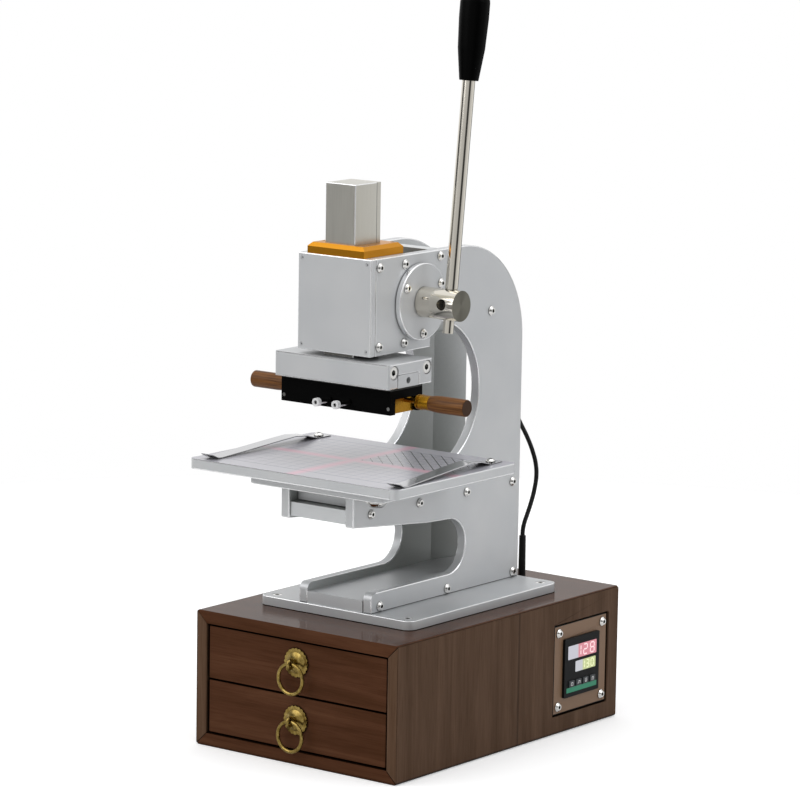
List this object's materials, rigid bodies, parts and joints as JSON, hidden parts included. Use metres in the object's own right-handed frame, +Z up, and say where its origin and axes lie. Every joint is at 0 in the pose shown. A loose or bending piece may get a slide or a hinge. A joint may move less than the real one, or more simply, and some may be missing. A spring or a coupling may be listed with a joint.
{
  "type": "hot foil stamping machine",
  "caption": "Bench-top hot foil stamping press: a hand lever drives a heated ram by rack and pinion down to a sliding work table, all on a wooden box with drawers.",
  "frame": {"origin": "middle of the wooden box's underside", "axes": "+Z up, the drawers and the work table face -Y, the lever and the controller are on the +X side"},
  "size_m": [0.209, 0.3079, 0.5924],
  "materials": {
    "walnut": "oiled walnut, satin",
    "drawer_wood": "plain sanded wood",
    "aged_brass": "antique brass, half polished",
    "satin_aluminium": "blasted and clear anodised, satin",
    "gold_aluminium": "orange-gold anodised, satin",
    "black_aluminium": "black anodised, matte",
    "table_face": "anodised with a printed measuring grid",
    "polished_steel": "polished stainless",
    "gear_steel": "machined and oiled",
    "spring_steel": "rolled and bright",
    "bright_screws": "bright stainless",
    "brass": "machined brass",
    "handle_wood": "turned and varnished",
    "black_plastic": "moulded, fine texture",
    "key_plastic": "soft touch",
    "red_plastic": "moulded, glossy",
    "white_plastic": "moulded",
    "insulation": "pressed fibre board",
    "black_rubber": "matte sleeve"
  },
  "bodies": {
    "frame": {"box_bottom": "walnut", "box_top": "walnut", "box_left_side": "walnut", "box_right_side": "walnut", "box_back_panel": "walnut", "cabinet_divider": "drawer_wood", "drawer_runners": "drawer_wood", "control_panel": "walnut", "panel_screws": "bright_screws", "controller_case": "black_plastic", "controller_front": "black_plastic", "power_inlet": "black_plastic", "solid_state_relay": "white_plastic", "base_plate": "satin_aluminium", "left_side_plate": "satin_aluminium", "right_side_plate": "satin_aluminium", "base_block": "satin_aluminium", "frame_cross_bars": "satin_aluminium", "head_front_plate": "satin_aluminium", "ram_gibs": "brass", "guide_cap": "gold_aluminium", "bearing_flanges": "satin_aluminium", "frame_screws": "bright_screws", "small_screws": "bright_screws", "lead_clamp": "black_plastic", "heater_lead": "black_rubber", "lead_boot": "black_rubber", "return_spring": "gear_steel"},
    "lever": {"pinion_shaft": "polished_steel", "pinion": "gear_steel", "lever_rod": "polished_steel", "lever_knob": "black_plastic"},
    "ram": {"ram_bar": "satin_aluminium", "rack": "gear_steel", "platen": "satin_aluminium", "heater_carrier": "satin_aluminium", "insulation_board": "insulation", "heater_block": "black_aluminium", "heater_cartridges": "polished_steel", "press_screws": "bright_screws"},
    "die_holder": {"die_plate": "brass", "handle_ferrules": "brass", "die_handles": "handle_wood"},
    "workbench": {"table_plate": "table_face", "table_carrier": "satin_aluminium"},
    "left_clip": {"left_clip": "spring_steel"},
    "right_clip": {"right_clip": "spring_steel"},
    "upper_drawer": {"upper_drawer_front": "walnut", "upper_drawer_box": "drawer_wood", "upper_pull": "aged_brass"},
    "upper_ring": {"upper_ring": "aged_brass"},
    "lower_drawer": {"lower_drawer_front": "walnut", "lower_drawer_box": "drawer_wood", "lower_pull": "aged_brass"},
    "lower_ring": {"lower_ring": "aged_brass"},
    "key_1": {"key_1": "key_plastic"},
    "key_2": {"key_2": "key_plastic"},
    "key_3": {"key_3": "key_plastic"},
    "key_4": {"key_4": "key_plastic"},
    "power_rocker": {"power_rocker": "red_plastic"}
  },
  "joints": [
    {"name": "lever_turn", "type": "hinge", "parent": "frame", "child": "lever", "pos_m": [0, -0.044, 0.3535], "axis": [1, 0, 0], "range_deg": [0, 91.67], "stiffness_Nm_per_rad": 0.25, "springref_deg": -114.59},
    {"name": "ram_slide", "type": "slide", "parent": "frame", "child": "ram", "axis": [0, 0, -1], "range_m": [0, 0.0384]},
    {"name": "die_holder_slide", "type": "slide", "parent": "ram", "child": "die_holder", "axis": [1, 0, 0], "range_m": [-0.0081, 0]},
    {"name": "workbench_slide", "type": "slide", "parent": "frame", "child": "workbench", "axis": [0, -1, 0], "range_m": [0, 0.07]},
    {"name": "left_clip_swivel", "type": "hinge", "parent": "workbench", "child": "left_clip", "pos_m": [-0.085, -0.014, 0.2295], "axis": [0, 0, 1], "range_deg": [-10, 10]},
    {"name": "right_clip_swivel", "type": "hinge", "parent": "workbench", "child": "right_clip", "pos_m": [0.085, -0.014, 0.2295], "axis": [0, 0, 1], "range_deg": [-14.5, 5.5]},
    {"name": "upper_drawer_slide", "type": "slide", "parent": "frame", "child": "upper_drawer", "axis": [0, -1, 0], "range_m": [0, 0.11]},
    {"name": "upper_ring_swing", "type": "hinge", "parent": "upper_drawer", "child": "upper_ring", "pos_m": [0, -0.152, 0.08017], "axis": [-1, 0, 0], "range_deg": [0, 90]},
    {"name": "lower_drawer_slide", "type": "slide", "parent": "frame", "child": "lower_drawer", "axis": [0, -1, 0], "range_m": [0, 0.11]},
    {"name": "lower_ring_swing", "type": "hinge", "parent": "lower_drawer", "child": "lower_ring", "pos_m": [0, -0.152, 0.03483], "axis": [-1, 0, 0], "range_deg": [0, 90]},
    {"name": "key_1_press", "type": "slide", "parent": "frame", "child": "key_1", "axis": [-1, 0, 0], "range_m": [0, 0.0005], "stiffness_N_per_m": 300, "springref_m": -0.0005},
    {"name": "key_2_press", "type": "slide", "parent": "frame", "child": "key_2", "axis": [-1, 0, 0], "range_m": [0, 0.0005], "stiffness_N_per_m": 300, "springref_m": -0.0005},
    {"name": "key_3_press", "type": "slide", "parent": "frame", "child": "key_3", "axis": [-1, 0, 0], "range_m": [0, 0.0005], "stiffness_N_per_m": 300, "springref_m": -0.0005},
    {"name": "key_4_press", "type": "slide", "parent": "frame", "child": "key_4", "axis": [-1, 0, 0], "range_m": [0, 0.0005], "stiffness_N_per_m": 300, "springref_m": -0.0005},
    {"name": "power_rocker_tip", "type": "hinge", "parent": "frame", "child": "power_rocker", "pos_m": [-0.022, 0.145, 0.054], "axis": [1, 0, 0], "range_deg": [-18, 0]}
  ],
  "couplings": [
    {"joint": "ram_slide", "follows": "lever_turn", "m_per_rad": 0.024}
  ]
}
